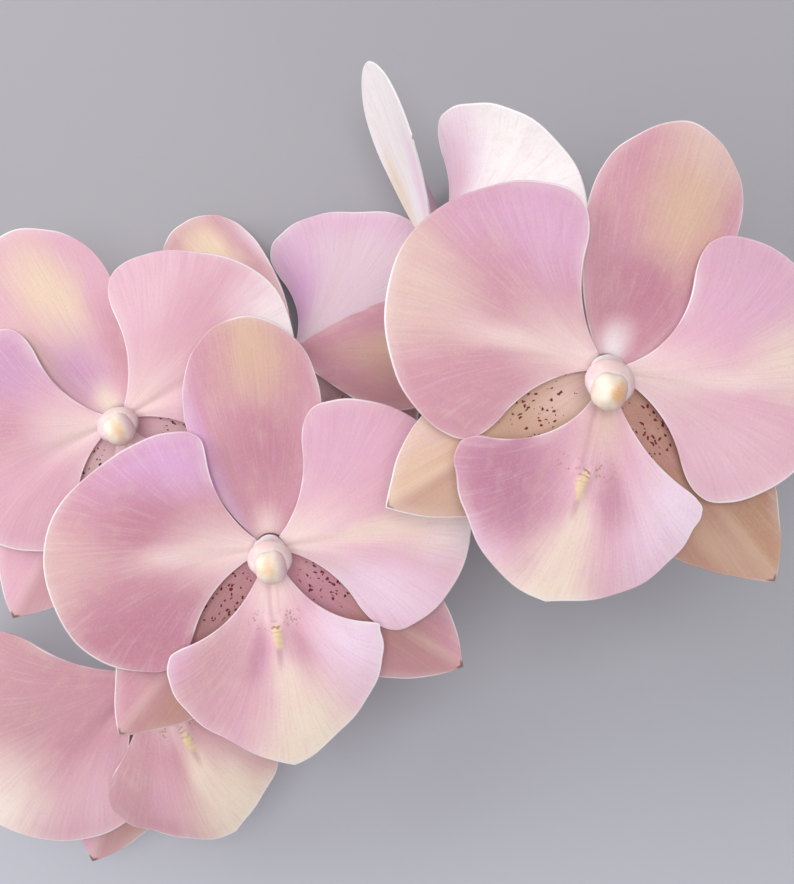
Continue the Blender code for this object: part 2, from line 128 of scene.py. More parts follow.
# Each kind of blade: its reach, its rim's lengths from the low side to the high side, the angles of
# its low side and high side at the root and at the rim, and how it lifts, droops, folds and waves
DORSAL = {
    "reach": 52.7 * MM, "rim": (0.6, 0.74, 0.91, 1, 0.91, 0.74, 0.6),
    "side": (-50, -27, 50, 27), "settle": 0.7, "lift": 0.05, "droop": 0.09, "fold": 0.03,
    "crease": 0, "wave": 0.01, "waves": 3, "phase": 0.6, "base": -1.5 * MM, "pointed": False,
}
LATERAL = {
    "reach": 52 * MM, "rim": (0.54, 0.66, 0.81, 1, 0.81, 0.66, 0.54),
    "side": (-46, -26, 46, 26), "settle": 0.5, "lift": 0.03, "droop": 0.08, "fold": 0.01,
    "crease": 0.06, "wave": 0.008, "waves": 3, "phase": 2, "base": -1.5 * MM, "pointed": True,
}
PETAL = {
    "reach": 48 * MM, "rim": (0.57, 0.72, 0.88, 1, 0.91, 0.77, 0.61),
    "side": (-17, -44, 44, 70), "settle": 1.15, "lift": 0.2, "droop": 0.2, "fold": 0.03,
    "crease": 0, "wave": 0.012, "waves": 4, "phase": 0, "base": 0.9 * MM, "pointed": False,
}
LIP = {
    "reach": 47.3 * MM, "rim": (0.64, 0.77, 0.89, 1, 0.89, 0.77, 0.64),
    "side": (-28, -50, 28, 50), "settle": 1.6, "lift": 0.42, "droop": 0.42, "fold": 0.04,
    "crease": 0, "wave": 0.014, "waves": 5, "phase": 1, "base": 2.6 * MM, "pointed": True,
}

# Each bloom: its middle in millimetres, where it faces, where its dorsal sepal points, its size
# against a full-sized bloom, its own turns, tilts, changes and column's lean, and its stalk's
# start and bends
BLOOMS = (
    {
        "centre": (42, 14.4, 98), "facing": (0, 0, 1), "dorsal": (0.259, 0.966, 0),
        "size": 1, "turns": {"dorsal_sepal": -5.5, "left_sepal": 5, "right_sepal": 6},
        "changes": {
            "dorsal_sepal": {"side": (-50, -27, 58, 27)},
            "right_sepal": {"reach": 55 * MM},
            "right_petal": {"side": (-17, -42, 30, 69)},
            "lip": {"side": (-28, -49, 12, 50), "settle": 1.2},
        },
        "column": (0, -0.48), "stem_x": 56, "bends": ((46, 9, 76),),
    },
    {
        "centre": (-27.2, -22.7, 77), "facing": (0, 0, 1), "dorsal": (-0.122, 0.993, 0),
        "size": 0.95, "turns": {"left_sepal": 2, "right_sepal": 3, "left_petal": 3},
        "changes": {
            "dorsal_sepal": {"side": (-52, -28, 52, 27)},
            "left_petal": {"rim": (0.6, 0.76, 0.97, 1, 0.8, 0.66, 0.58), "reach": 50 * MM},
            "right_petal": {"rim": (0.6, 0.78, 0.93, 1, 0.91, 0.77, 0.61), "reach": 46 * MM},
            "left_sepal": {"reach": 55 * MM},
            "lip": {"rim": (0.62, 0.71, 0.84, 1, 0.91, 0.78, 0.63)},
        },
        "column": (0.09, -0.33), "stem_x": -8, "bends": ((-22, -18, 62),),
    },
    {
        "centre": (-62.8, 5, 58), "facing": (0, 0, 1), "dorsal": (-0.454, 0.891, 0),
        "size": 0.95, "turns": {"dorsal_sepal": 8, "left_sepal": -8},
        "changes": {"dorsal_sepal": {"side": (-50, -27, 54, 31)}, "left_sepal": {"reach": 55 * MM}},
        "column": (0.09, -0.3), "stem_x": -66, "bends": ((-61, -7, 42),),
    },
    {
        "centre": (-57.8, -54.2, 38), "facing": (0, -0.12, 0.99), "dorsal": (-0.47, 0.88, 0.11),
        "size": 0.98, "turns": {"left_petal": 20, "left_sepal": 1}, "tilts": {"right_sepal": -51},
        "changes": {
            "left_petal": {"side": (-10, -35, 44, 64), "reach": 56.9 * MM},
            "left_sepal": {"reach": 54 * MM},
            "lip": {
                "rim": (0.58, 0.7, 0.82, 1, 0.9, 0.78, 0.62), "side": (-28, -47, 42, 50),
                "settle": 1.2, "reach": 45.5 * MM,
            },
        },
        "stem_x": -50, "bends": ((-54, -42, 21),),
    },
    {
        "centre": (-26.2, 21.6, 24.6), "facing": (0.337, -0.37, -0.866),
        "dorsal": (-0.6, 0.63, -0.5), "size": 0.94,
        "tilts": {
            "dorsal_sepal": -4, "lip": 40, "left_petal": 6, "right_petal": 30, "left_sepal": 8,
            "right_sepal": 25,
        },
        "turns": {"lip": -8, "dorsal_sepal": -8, "left_petal": 3, "left_sepal": 2},
        "changes": {
            "left_petal": {"rim": (0.44, 0.54, 0.76, 0.98, 0.91, 0.77, 0.61), "reach": 50 * MM},
            "lip": {"reach": 40 * MM},
            "dorsal_sepal": {"side": (-55, -32, 39, 14), "reach": 54.5 * MM},
            "left_sepal": {"side": (-42, -28, 42, 36), "reach": 54 * MM},
        },
        "stem_x": -28, "bends": ((-28, 12, 46), (-28, -2, 48)),
    },
    {
        "centre": (9.5, 46, 38.6), "facing": (0.92, 0.3, -0.26), "dorsal": (-0.29, 0.95, 0),
        "size": 0.9, "turns": {"right_sepal": 4, "left_petal": 5, "lip": 7},
        "tilts": {
            "left_petal": 39, "right_petal": 25, "left_sepal": 20, "right_sepal": 25, "lip": 38,
        },
        "changes": {
            "lip": {"side": (-28, -36, 28, 38)},
            "right_sepal": {"side": (-40, -18, 40, 18), "reach": 46 * MM, "base": -2.6 * MM},
        },
        "stem_x": 22, "bends": ((3, 36, 48), (10, 16, 56)),
    },
)

# Each blade of a bloom: its shape, where it points in degrees, -1 if it is mirrored, and its slot
BLADES = (
    ("dorsal_sepal", DORSAL, 90, 1, "sepal_pink"),
    ("left_sepal", LATERAL, 222, -1, "left_sepal_pink"),
    ("right_sepal", LATERAL, 318, 1, "right_sepal_pink"),
    ("left_petal", PETAL, 180, 1, "left_petal_pink"),
    ("right_petal", PETAL, 0, -1, "right_petal_pink"),
    ("lip", LIP, 270, 1, "lip_pink"),
)

# The stalk's line from the cut end to its tip, and where its two long scales sit
STEM_LINE = (
    (262, -8, 3.2), (220, -6, 11), (170, -1, 31), (125, 6, 48), (88, 8, 58), (50, 1, 63),
    (22, -4, 60), (-5, -10, 53), (-28, -14, 43), (-50, -20, 32), (-72, -20, 27), (-92, -14, 26),
)
SHEATHS_X = (214, 138)

# The camera looks straight down
CAMERA_HEIGHT = 398 * MM
LENS = 61.09
CLIP_START = 10 * MM

# Soft round lamps: place, width, power and colour
LAMPS = {
    "top": ((-0.09, 0.08, 1.3), 0.6, 7.8, (1, 0.99, 0.98)),
    "key": ((-0.6, 0.65, 1), 0.9, 2.2, (1, 0.985, 0.97)),
    "side": ((-0.95, 0.25, 0.4), 0.7, 4.4, (1, 0.99, 0.99)),
}
AIM_HEIGHT = 60 * MM
SKY = (0.97, 0.98, 1, 1)
SKY_STRENGTH = 0.38
FLOOR_HALF = 3

# Sockets of the colour mixing node
MIX_FIRST, MIX_SECOND, MIX_RESULT = 6, 7, 2


def srgb(red, green, blue):
    """A colour given as it looks on a screen, as linear values."""
    values = (v / 255 for v in (red, green, blue))
    return tuple(v / 12.92 if v <= 0.04045 else ((v + 0.055) / 1.055) ** 2.4 for v in values)


# The colours, as they look in soft light
ROSE = srgb(202, 148, 162)
DEEP_ROSE = srgb(187, 125, 145)
DUSTY = srgb(198, 153, 160)
MAUVE = srgb(181, 122, 146)
LILAC = srgb(215, 169, 200)
VIOLET = srgb(211, 163, 204)
PINK = srgb(221, 173, 190)
PALE_PINK = srgb(232, 195, 208)
PALE_LILAC = srgb(242, 217, 236)
HEATHER = srgb(198, 151, 186)
MIST = srgb(218, 194, 206)
BLUSH = srgb(237, 211, 208)
SAND = srgb(220, 193, 182)
TAN = srgb(214, 181, 154)
DARK_TAN = srgb(188, 147, 119)
BROWN_ROSE = srgb(184, 138, 131)
CREAM = srgb(237, 220, 202)
IVORY = srgb(246, 236, 222)
BUTTER = srgb(234, 214, 180)
WHITE = srgb(247, 241, 242)
# RIM: the palest edge tone, partly a pale margin and partly a painted highlight
RIM = srgb(254, 247, 248)
MAROON = srgb(120, 34, 44)
BROWN = srgb(104, 62, 50)
YELLOW = srgb(227, 209, 156)
AMBER = srgb(226, 176, 118)
GREEN = srgb(112, 132, 66)
DARK_GREEN = srgb(72, 88, 44)
RUST = srgb(146, 98, 82)
FLOOR_GREY = srgb(172, 171, 177)
FLOOR_PALE = srgb(192, 193, 203)

# Patches of colour on each kind of blade: their middle across it (0 at the low side, 1 at the high
# side) and outward (0 at the root, 1 at the rim), their half widths, colour and strength
ROOT_BLUSH = (0.45, 0, 1, 0.58, BLUSH, 1)
PETAL_PATCHES = (
    (0.85, 0.78, 0.4, 0.55, LILAC, 0.9), (0.6, 0.58, 0.28, 0.4, ROSE, 0.75),
    (0.44, 0.95, 0.26, 0.56, SAND, 0.9), (0.12, 0.75, 0.28, 0.5, ROSE, 0.55),
    (0.38, 0.38, 0.14, 0.46, BLUSH, 0.85), ROOT_BLUSH,
)
DORSAL_PATCHES = (
    (0.58, 0.7, 0.32, 0.5, TAN, 0.85), (0.12, 0.6, 0.2, 0.6, ROSE, 0.4),
    (0.92, 0.6, 0.16, 0.6, PINK, 0.5), (0.52, 0.3, 0.6, 0.24, DEEP_ROSE, 0.9),
    (0.58, 0.96, 0.3, 0.2, SAND, 0.7), (0.42, 0, 0.5, 0.22, WHITE, 0.85),
)
LATERAL_PATCHES = (
    (0.3, 0.75, 0.3, 0.6, PINK, 0.6), (0.76, 0.75, 0.3, 0.6, TAN, 0.85),
    (0.5, 0.28, 0.9, 0.4, SAND, 0.9),
)
LIP_PATCHES = (
    (0.06, 0.85, 0.34, 0.56, PALE_LILAC, 0.85), (0.94, 0.68, 0.42, 0.56, DEEP_ROSE, 0.8),
    (0.68, 0.48, 0.14, 0.32, MAUVE, 0.6), (0.34, 0.48, 0.13, 0.3, MAUVE, 0.6),
    (0.5, 0.1, 0.75, 0.36, BLUSH, 1), (0.5, 0.98, 0.24, 0.62, CREAM, 1),
    (0.5, 0.64, 0.1, 0.28, CREAM, 0.75),
)

# Each kind's ground colour and patches, then those of the blades that have their own
PATCHES = {
    "dorsal_sepal": (ROSE, DORSAL_PATCHES), "lip": (PINK, LIP_PATCHES),
    "left_sepal": (ROSE, LATERAL_PATCHES), "right_sepal": (ROSE, LATERAL_PATCHES),
    "left_petal": (ROSE, PETAL_PATCHES), "right_petal": (PINK, PETAL_PATCHES),
}
OWN_PATCHES = {
    "bloom_1_right_petal": (PINK, (
        (0.85, 0.75, 0.36, 0.5, LILAC, 0.5), (0.57, 0.9, 0.18, 0.64, CREAM, 0.85),
        (0.5, 0.42, 0.12, 0.4, BLUSH, 0.85), (0.14, 0.7, 0.3, 0.6, PALE_PINK, 0.45), ROOT_BLUSH,
    )),
    # Bloom 1's side sepals: halves partly own tone, partly painted light and shade; butter streaks
    # are painted highlights.
    "bloom_1_left_sepal": (TAN, (
        (0.2, 0.8, 0.28, 0.5, SAND, 0.8), (0.84, 0.75, 0.36, 0.6, DARK_TAN, 1),
        (0.64, 0.82, 0.14, 0.3, BUTTER, 0.55), (0.5, 0.1, 0.9, 0.26, BLUSH, 0.5),
    )),
    "bloom_1_right_sepal": (DARK_TAN, (
        (0.02, 0.75, 0.26, 0.6, DUSTY, 0.8), (0.95, 0.7, 0.22, 0.6, BROWN_ROSE, 0.7),
        (0.6, 0.86, 0.16, 0.26, BUTTER, 0.5), (0.5, 0.22, 0.9, 0.4, BROWN_ROSE, 0.55),
    )),
    "bloom_1_lip": (PINK, (
        (0.06, 0.86, 0.36, 0.54, PALE_LILAC, 0.95), (0.9, 0.76, 0.44, 0.52, MAUVE, 1),
        (0.7, 1.06, 0.14, 0.22, PALE_LILAC, 0.6), (0.34, 0.52, 0.14, 0.3, MAUVE, 0.65),
        (0.5, 0.06, 0.8, 0.46, SAND, 1), (0.51, 1, 0.19, 0.6, CREAM, 1),
        (0.51, 0.64, 0.08, 0.24, CREAM, 0.7),
    )),
    "bloom_2_left_petal": (ROSE, (
        (0.86, 0.82, 0.36, 0.46, VIOLET, 0.95), (0.6, 0.58, 0.28, 0.42, DEEP_ROSE, 0.8),
        (0.42, 0.98, 0.22, 0.46, SAND, 0.55), (0.12, 0.72, 0.3, 0.6, DEEP_ROSE, 0.9),
        (0.4, 0.34, 0.15, 0.36, BLUSH, 0.85), ROOT_BLUSH,
    )),
    "bloom_2_right_petal": (PINK, (
        (0.85, 0.72, 0.34, 0.58, LILAC, 0.45), (0.44, 0.98, 0.26, 0.44, WHITE, 0.9),
        (0.38, 0.5, 0.13, 0.6, CREAM, 0.75), (0.08, 0.72, 0.28, 0.6, PALE_LILAC, 0.8), ROOT_BLUSH,
    )),
    "bloom_2_dorsal_sepal": (ROSE, (
        (0.04, 0.6, 0.24, 0.75, VIOLET, 1), (0.54, 0.84, 0.3, 0.38, TAN, 0.85),
        (0.56, 0.4, 0.4, 0.3, DEEP_ROSE, 0.8), (0.9, 0.6, 0.16, 0.5, PINK, 0.5),
        (0.45, 0, 0.6, 0.2, BLUSH, 0.9),
    )),
    "bloom_2_left_sepal": (ROSE, (
        (0.2, 0.7, 0.3, 0.7, BROWN_ROSE, 0.45), (0.8, 0.7, 0.4, 0.8, BROWN_ROSE, 1),
        (0.62, 0.8, 0.12, 0.3, DARK_TAN, 0.6), (0.5, 0.28, 0.9, 0.34, BROWN_ROSE, 0.6),
    )),
    "bloom_2_right_sepal": (ROSE, (
        (0.5, 0.6, 0.3, 0.4, BROWN_ROSE, 0.8), (0.9, 0.76, 0.3, 0.5, PINK, 0.55),
        (0.3, 0.84, 0.2, 0.4, DUSTY, 0.6),
    )),
    "bloom_2_lip": (PINK, (
        (0.06, 0.82, 0.34, 0.54, PALE_LILAC, 0.9), (0.92, 0.7, 0.4, 0.6, DUSTY, 0.95),
        (1, 0.98, 0.12, 0.3, LILAC, 0.6), (0.66, 0.48, 0.14, 0.3, MAUVE, 0.6),
        (0.33, 0.5, 0.13, 0.28, MAUVE, 0.5), (0.5, 0.1, 0.8, 0.36, BLUSH, 1),
        (0.44, 0.98, 0.26, 0.64, CREAM, 1), (0.48, 0.62, 0.1, 0.26, CREAM, 0.75),
    )),
    "bloom_3_left_petal": (PINK, (
        (0.85, 0.78, 0.4, 0.55, HEATHER, 0.95), (0.6, 0.58, 0.28, 0.4, ROSE, 0.75),
        (0.14, 0.75, 0.3, 0.5, PINK, 0.5), ROOT_BLUSH,
    )),
    # Bloom 3's right petal: the white patch near its rim is a painted highlight.
    "bloom_3_right_petal": (PINK, (
        (0.88, 0.78, 0.34, 0.55, PALE_PINK, 0.5), (0.62, 0.6, 0.26, 0.4, ROSE, 0.35),
        (0.32, 0.94, 0.32, 0.52, WHITE, 1), (0.1, 0.5, 0.3, 0.5, PALE_PINK, 0.5), ROOT_BLUSH,
    )),
    "bloom_3_dorsal_sepal": (PINK, (
        (0.54, 0.62, 0.3, 0.5, BUTTER, 0.75), (0.2, 0.5, 0.22, 0.5, SAND, 0.6),
        (0.42, 0.24, 0.5, 0.3, HEATHER, 0.75), (0.92, 0.36, 0.3, 0.44, ROSE, 0.9),
        (0.5, 0, 0.5, 0.2, CREAM, 0.95),
    )),
    "bloom_3_left_sepal": (PINK, ((0.5, 0.26, 0.9, 0.4, BLUSH, 0.8),)),
    "bloom_3_right_sepal": (PINK, ((0.5, 0.26, 0.9, 0.4, BLUSH, 0.6),)),
    "bloom_4_left_petal": (ROSE, (
        (0.88, 0.78, 0.36, 0.5, DUSTY, 0.8), (0.62, 0.58, 0.26, 0.4, DUSTY, 0.8),
        (0.42, 1, 0.26, 0.56, IVORY, 0.8), (0.12, 0.78, 0.3, 0.5, PALE_PINK, 0.6),
    )),
    "bloom_4_lip": (ROSE, (
        (0.02, 0.8, 0.24, 0.6, PALE_PINK, 0.9), (0.92, 0.75, 0.34, 0.7, DUSTY, 0.8),
        (0.7, 0.7, 0.14, 0.4, PINK, 0.6), (0.5, 0.12, 0.7, 0.34, BLUSH, 0.8),
        (0.42, 0.9, 0.32, 0.66, CREAM, 1), (0.48, 0.55, 0.12, 0.28, CREAM, 0.9),
    )),
    "bloom_4_left_sepal": (PINK, (
        (0.2, 0.75, 0.34, 0.6, PALE_PINK, 0.6), (0.8, 0.75, 0.34, 0.6, TAN, 0.85),
    )),
    "bloom_5_left_petal": (MIST, (
        (0.96, 0.5, 0.26, 0.75, VIOLET, 0.9), (0.7, 0.98, 0.34, 0.26, LILAC, 0.7),
    )),
    "bloom_5_left_sepal": (ROSE, ((0.5, 0.6, 0.34, 0.6, TAN, 0.8),)),
    "bloom_5_dorsal_sepal": (DUSTY, (
        (0.42, 0.74, 0.26, 0.3, BUTTER, 0.8), (0, 0.92, 0.26, 0.4, MIST, 0.95),
        (0.8, 0.6, 0.26, 0.6, ROSE, 0.4),
    )),
    # Bloom 6: white grounds and RIM patches, partly pale colour and partly painted light where
    # strong light falls on them.
    "bloom_6_dorsal_sepal": (WHITE, (
        (0.88, 0.42, 0.3, 0.5, BUTTER, 0.7), (0.15, 0.3, 0.34, 0.6, PALE_LILAC, 0.9),
        (0.5, 1, 0.8, 0.5, RIM, 1),
    )),
    "bloom_6_left_petal": (WHITE, (
        (1, 0.6, 0.32, 0.9, LILAC, 0.65), (0.96, 0.3, 0.22, 0.5, PINK, 0.5),
        (0.5, 0.8, 0.4, 0.5, RIM, 0.9),
    )),
}

# Where the lip's callus lies on each bloom, in millimetres from the bloom's middle
CALLUS_AT = {1: 23.6, 2: 19, 3: 19, 4: 17.9, 5: 19, 6: 19}

# How far to the right the amber patch lies on a bloom's anther cap, as a share of TURNED_SPAN
AMBER_AT = {1: 0.075, 2: -0.03}


def eased(values, place):
    """A smooth curve through evenly spaced values, read at any places from 0 to 1."""
    values = np.asarray(values, float)
    slopes = np.gradient(values, axis=0)
    place = np.clip(place, 0, 1) * (len(values) - 1)
    first = np.minimum(place.astype(int), len(values) - 2)
    t = place - first
    if values.ndim > 1:
        t = t[..., None]
    return (
        values[first] * (2 * t**3 - 3 * t**2 + 1)
        + slopes[first] * (t**3 - 2 * t**2 + t)
        + values[first + 1] * (3 * t**2 - 2 * t**3)
        + slopes[first + 1] * (t**3 - t**2)
    )


def rim_lengths(shape, across):
    """How far out the rim lies, smooth or with a point at the blade's tip."""
    rim = shape["rim"]
    if not shape["pointed"]:
        return shape["reach"] * eased(rim, (across + 1) / 2)
    middle = len(rim) // 2
    low = eased(rim[: middle + 1], across + 1)
    high = eased(rim[middle:], across)
    return shape["reach"] * np.where(across < 0, low, high)


def rounded_corners(across, outward, wide, long):
    """Draws the grid's two outer corners in, along quarter rounds of the given shares."""
    side = np.clip((np.abs(across) - 1 + wide) / wide, 0, 1)
    out = np.clip((outward - 1 + long) / long, 0, 1)
    new_side = side * np.sqrt(1 - out**2 / 2)
    new_out = out * np.sqrt(1 - side**2 / 2)
    across = np.where(side > 0, np.sign(across) * (1 - wide * (1 - new_side)), across)
    outward = np.where(out > 0, 1 - long * (1 - new_out), outward)
    return across, outward


def bump(value, middle, width):
    return np.exp(-(((value - middle) / width) ** 2))


def relief(kind, x, y, radius, angle, out, seed, callus_at):
    """The fine relief that the solids leave out, as a height along the blade's axis."""
    ripple = RIPPLE * out**4 * np.sin(9 * angle + seed) * np.sin(4 * angle + 2 * seed)
    swell = SWELL * np.sin(x / (7 * MM) + seed) * np.sin(y / (8 * MM) + 1.7 * seed) * out
    if kind == "lip":
        at = callus_at * MM
        callus = CALLUS_HEIGHT * bump(x, 0, 1.1 * MM) * bump(radius, at, 3 * MM)
        horns = bump(x, -1.5 * MM, 0.8 * MM) + bump(x, 1.5 * MM, 0.8 * MM)
        horns = CALLUS_HORNS * horns * bump(radius, at - 3.2 * MM, 1.6 * MM)
        channel = LIP_CHANNEL * bump(x, 0, 1.2 * MM) * bump(radius, at / 2, 5 * MM)
        return ripple + swell + callus + horns - channel
    if "petal" in kind:
        groove = PETAL_GROOVE * bump(angle, 0, 0.13) * bump(radius, 14 * MM, 14 * MM)
        return ripple + swell - groove
    return SEPAL_SHARE * (ripple + swell)


def blade_points(kind, shape, seed, callus_at):
    """A blade's middle surface pointing along +Y, and each point's shares across and outward."""
    steps = 1 - (1 - np.linspace(0, 1, BLADE_RINGS)) ** CROWDING
    across, outward = np.meshgrid(np.linspace(-1, 1, BLADE_RAYS), steps)
    across, outward = rounded_corners(across, outward, *ROUNDING.get(kind, SEPAL_ROUNDING))
    reach = shape["reach"]
    spread = (np.sin(across * math.pi / 2) + 1) / 2
    uneven = np.sin(5.3 * across + seed) + 0.6 * np.sin(11.7 * across + 2.3 * seed)
    uneven = uneven + 0.45 * np.sin(24 * across + 3.1 * seed) * np.sin(6.1 * across + seed)
    rim = rim_lengths(shape, across) + shape["uneven"] * uneven * outward**6
    radius = ROOT_RADIUS + outward * (rim - ROOT_RADIUS)
    low_root, low_rim, high_root, high_rim = (math.radians(a) for a in shape["side"])
    settle = outward ** shape["settle"]
    low = low_root + (low_rim - low_root) * settle
    high = high_root + (high_rim - high_root) * settle
    angle = low + (high - low) * spread
    x, y = radius * np.sin(angle), radius * np.cos(angle)
    out = (radius - ROOT_RADIUS) / reach
    height = shape["lift"] * out - shape["droop"] * out**2 - shape["fold"] * (2 * x / reach) ** 2
    height = height - shape["crease"] * (np.hypot(2 * x / reach, RIDGE_WIDTH) - RIDGE_WIDTH)
    height = height + shape["wave"] * out**3 * np.cos(shape["waves"] * angle + shape["phase"])
    height = height * reach + relief(kind, x, y, radius, angle, out, seed, callus_at)
    return np.stack([x, y, height], axis=-1), spread, outward


def press_to_table(points):
    """Flattens what would lie lower than the table."""
    depth = (points[..., 2:] - PRESS_FLOOR) / PRESS_SOFTNESS
    height = PRESS_FLOOR + PRESS_SOFTNESS * np.logaddexp(0, depth)
    return np.concatenate([points[..., :2], height], axis=-1)


def grid_normals(points):
    normals = np.cross(np.gradient(points, axis=1), np.gradient(points, axis=0))
    return normals / np.linalg.norm(normals, axis=-1, keepdims=True)


def transform(points, matrix):
    return points @ np.array(matrix.to_3x3()).T + np.array(matrix.translation)


def rim_distance(points):
    """Each point's distance to the blade's free edge, the root left out."""
    edge = np.concatenate([points[1:, 0], points[-1], points[1:, -1]])
    return np.array([np.linalg.norm(row[:, None] - edge, axis=-1).min(axis=1) for row in points])


def put_in_scene(name, data):
    item = bpy.data.objects.new(name, data)
    bpy.context.scene.collection.objects.link(item)
    return item


def add_mesh(name, points, faces, maps, material):
    """A smooth mesh; maps holds a pair of numbers for each point, under each map's name."""
    mesh = bpy.data.meshes.new(name)
    mesh.from_pydata(points.tolist(), [], faces)
    corner_points = np.empty(len(mesh.loops), dtype=np.int64)
    mesh.loops.foreach_get("vertex_index", corner_points)
    for map_name, pairs in maps.items():
        layer = mesh.uv_layers.new(name=map_name)
        layer.data.foreach_set("uv", pairs[corner_points].astype(np.float32).ravel())
    mesh.materials.append(material)
    mesh.shade_smooth()
    return put_in_scene(name, mesh)


def grid_faces(rows, columns, first, flip):
    index = first + np.arange(rows * columns).reshape(rows, columns)
    corners = [index[:-1, :-1], index[:-1, 1:], index[1:, 1:], index[1:, :-1]]
    quads = np.stack(corners, axis=-1).reshape(-1, 4)
    return quads[:, ::-1] if flip else quads


def add_blade(name, kind, shape, side, world, place, material, size, seed, callus_at):
    """One petal, sepal or lip as a closed sheet: front, back and a rounded edge between them."""
    plan, share, outward = blade_points(kind, shape, seed, callus_at)
    to_world = world @ Matrix.Scale(size, 4) @ place
    middle = press_to_table(transform(plan * (side, 1, 1), to_world))
    normals = grid_normals(middle) * side
    away = rim_distance(middle)
    thin = np.clip(1 - away / THINNING_WIDTH, 0, 1)[..., None]
    half = (TISSUE + (TISSUE_EDGE - TISSUE) * thin) / 2
    rows, columns = share.shape
    front, back = middle + half * normals, middle - half * normals
    ring = [(0, j) for j in range(columns)]
    ring += [(i, columns - 1) for i in range(1, rows)]
    ring += [(rows - 1, j) for j in range(columns - 2, -1, -1)]
    ring += [(i, 0) for i in range(rows - 2, 0, -1)]
    here = np.array(ring) @ (columns, 1)
    inner = np.clip(ring, 1, (rows - 2, columns - 2)) @ (columns, 1)
    flat = middle.reshape(-1, 3)
    outwards = flat[here] - flat[inner]
    outwards /= np.linalg.norm(outwards, axis=1, keepdims=True)
    bulge = flat[here] + outwards * TISSUE_EDGE * EDGE_BULGE
    points = np.concatenate([front.reshape(-1, 3), back.reshape(-1, 3), bulge])
    count = rows * columns
    quads = [grid_faces(rows, columns, 0, False), grid_faces(rows, columns, count, True)]
    after = np.roll(here, -1)
    rim = 2 * count + np.arange(len(here))
    next_rim = np.roll(rim, -1)
    quads.append(np.stack([here, rim, next_rim, after], axis=-1))
    quads.append(np.stack([rim, here + count, after + count, next_rim], axis=-1))
    faces = np.concatenate(quads)
    if side < 0:
        faces = faces[:, ::-1]

    def doubled(values):
        return np.concatenate([values, values, values[here]])

    share_map = np.stack([share.ravel(), outward.ravel()], axis=-1)
    plan_map = plan.reshape(-1, 3)[:, :2] / PLAN_SPAN + 0.5
    edge_map = np.stack([away.ravel() / EDGE_SPAN, np.ones(count)], axis=-1)
    back_edge = edge_map * (1, 0)
    rim_map = np.stack([np.zeros(len(here)), np.full(len(here), 0.5)], axis=-1)
    maps = {
        "share": doubled(share_map),
        "plan": doubled(plan_map),
        "edge": np.concatenate([edge_map, back_edge, rim_map]),
    }
    return add_mesh(name, points, faces.tolist(), maps, material)


class Paint:
    """Makes one material's nodes, each from sockets or plain numbers."""

    def __init__(self, name):
        self.material = bpy.data.materials.new(name)
        self.material.use_nodes = True
        self.tree = self.material.node_tree
        self.shader = self.tree.nodes["Principled BSDF"]

    def put(self, socket, value):
        if isinstance(value, bpy.types.NodeSocket):
            self.tree.links.new(value, socket)
        elif isinstance(value, tuple) and len(value) == 3 and len(socket.default_value) == 4:
            socket.default_value = (*value, 1)
        else:
            socket.default_value = value

    def node(self, kind, inputs=(), **settings):
        made = self.tree.nodes.new(kind)
        for key, value in settings.items():
            setattr(made, key, value)
        for key, value in dict(inputs).items():
            self.put(made.inputs[key], value)
        return made

    def math(self, operation, *values):
        return self.node("ShaderNodeMath", enumerate(values), operation=operation).outputs[0]

    def times(self, first, second):
        return self.math("MULTIPLY", first, second)

    def plus(self, first, second):
        return self.math("ADD", first, second)

    def from_middle(self, value, middle):
        """The distance of a number from a middle."""
        return self.math("ABSOLUTE", self.math("SUBTRACT", value, middle))

    def vector_math(self, operation, *values):
        return self.node("ShaderNodeVectorMath", enumerate(values), operation=operation)

    def moved(self, vector, by):
        return self.vector_math("ADD", vector, by).outputs[0]

    def less(self, vector, by):
        return self.vector_math("SUBTRACT", vector, by).outputs[0]

    def stretched(self, vector, factors):
        return self.vector_math("MULTIPLY", vector, factors).outputs[0]

    def oval(self, vector, middle, wide, long):
        """How far a place lies from an oval's middle, where 1 is its outline."""
        place = self.less(vector, (*middle, 0))
        place = self.stretched(place, (1 / wide, 1 / long, 0))
        return self.vector_math("LENGTH", place).outputs["Value"]

    def smooth(self, value, low, high, bottom=0, top=1):
        """Eases from bottom to top as the value goes from low to high."""
        inputs = {
            "Value": value, "From Min": low, "From Max": high, "To Min": bottom, "To Max": top,
        }
        return self.node("ShaderNodeMapRange", inputs, interpolation_type="SMOOTHSTEP").outputs[0]

    def mix(self, factor, first, second):
        """The first colour where the factor is 0 and the second where it is 1."""
        inputs = {"Factor": factor, MIX_FIRST: first, MIX_SECOND: second}
        return self.node("ShaderNodeMix", inputs, data_type="RGBA").outputs[MIX_RESULT]

    def over(self, colour, tint, value, low, high, bottom=0, top=1):
        """Lays a tint over a colour, as strongly as smooth() says."""
        return self.mix(self.smooth(value, low, high, bottom, top), colour, tint)

    def uv(self, name):
        return self.node("ShaderNodeUVMap", uv_map=name).outputs[0]

    def apart(self, vector):
        return self.node("ShaderNodeSeparateXYZ", {0: vector}).outputs

    def noise(self, vector, scale, detail=2, rough=0.5):
        inputs = {"Vector": vector, "Scale": scale, "Detail": detail, "Roughness": rough}
        return self.node("ShaderNodeTexNoise", inputs).outputs["Fac"]

    def cells(self, vector, scale, random=1):
        inputs = {"Vector": vector, "Scale": scale, "Randomness": random}
        return self.node("ShaderNodeTexVoronoi", inputs).outputs

    def wander(self, vector, scale, detail, far):
        """A random shift across and outward, up to half of far each way."""
        inputs = {"Vector": vector, "Scale": scale, "Detail": detail}
        colour = self.node("ShaderNodeTexNoise", inputs).outputs["Color"]
        return self.stretched(self.less(colour, (0.5, 0.5, 0.5)), (far, far, 0))

    def bumped(self, height, distance, strength):
        inputs = {"Height": height, "Distance": distance, "Strength": strength}
        self.coat({"Normal": self.node("ShaderNodeBump", inputs).outputs[0]})

    def coat(self, inputs):
        """Sets the shader's own inputs."""
        for name, value in inputs.items():
            self.put(self.shader.inputs[name], value)


